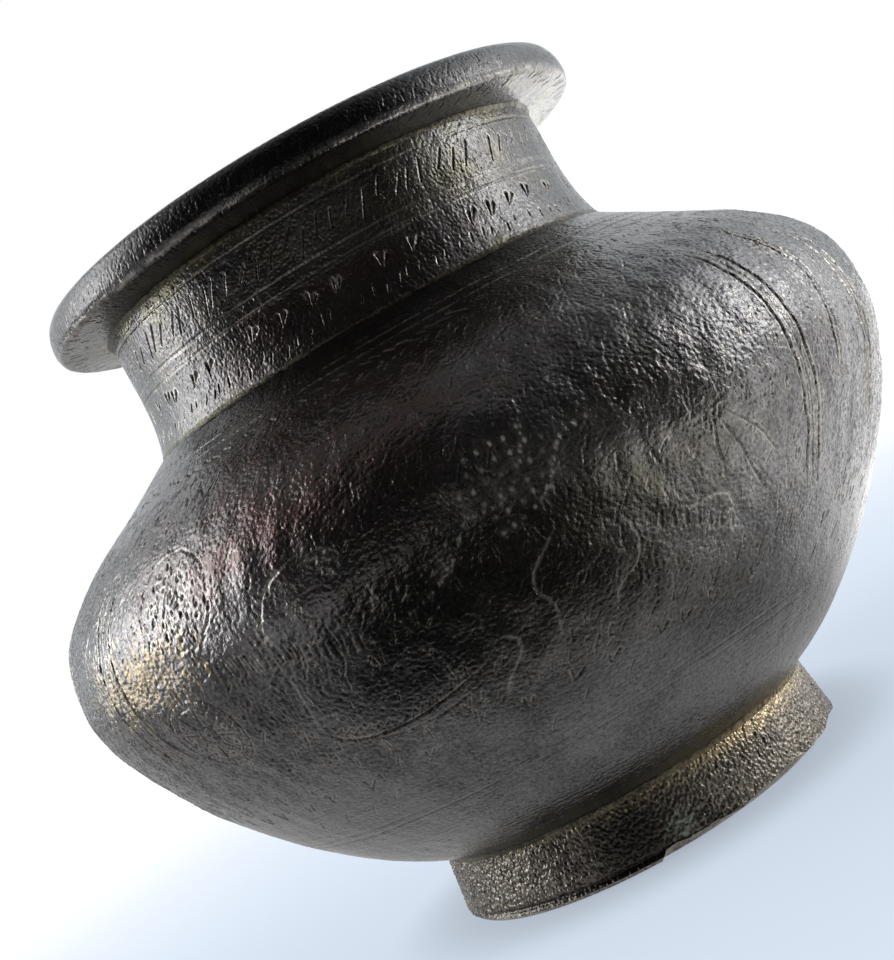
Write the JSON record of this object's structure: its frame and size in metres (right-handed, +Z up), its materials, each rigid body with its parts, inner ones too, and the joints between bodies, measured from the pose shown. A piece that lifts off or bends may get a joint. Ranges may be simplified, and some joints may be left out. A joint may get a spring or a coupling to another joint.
{
  "type": "water pot",
  "caption": "Squat round metal water pot with a wide shoulder, short upright neck, thick turned-out rim and low flared foot ring.",
  "frame": {"origin": "centre of the circle that the foot ring rests on", "axes": "+Z up along the pot's turning axis, out of its mouth; X and Y are level and alike, because the metal is a body of revolution"},
  "size_m": [0.145, 0.145, 0.118],
  "materials": {
    "dark_bronze": "dark brown-black patina over cast and engraved brass, pitted, with a cool sheen and olive recesses",
    "rough_foot": "coarse granular casting skin, dark patina worn to dull gold near the bowl",
    "braze_filler": "dull gold filler metal, dressed and patinated"
  },
  "bodies": {
    "root": {"rim_ring": "dark_bronze", "neck_collar": "dark_bronze", "upper_shell": "dark_bronze", "lower_bowl": "dark_bronze", "foot_ring": "rough_foot", "rim_braze": "braze_filler", "neck_braze": "braze_filler", "belly_braze": "braze_filler", "foot_braze": "braze_filler"}
  },
  "joints": []
}
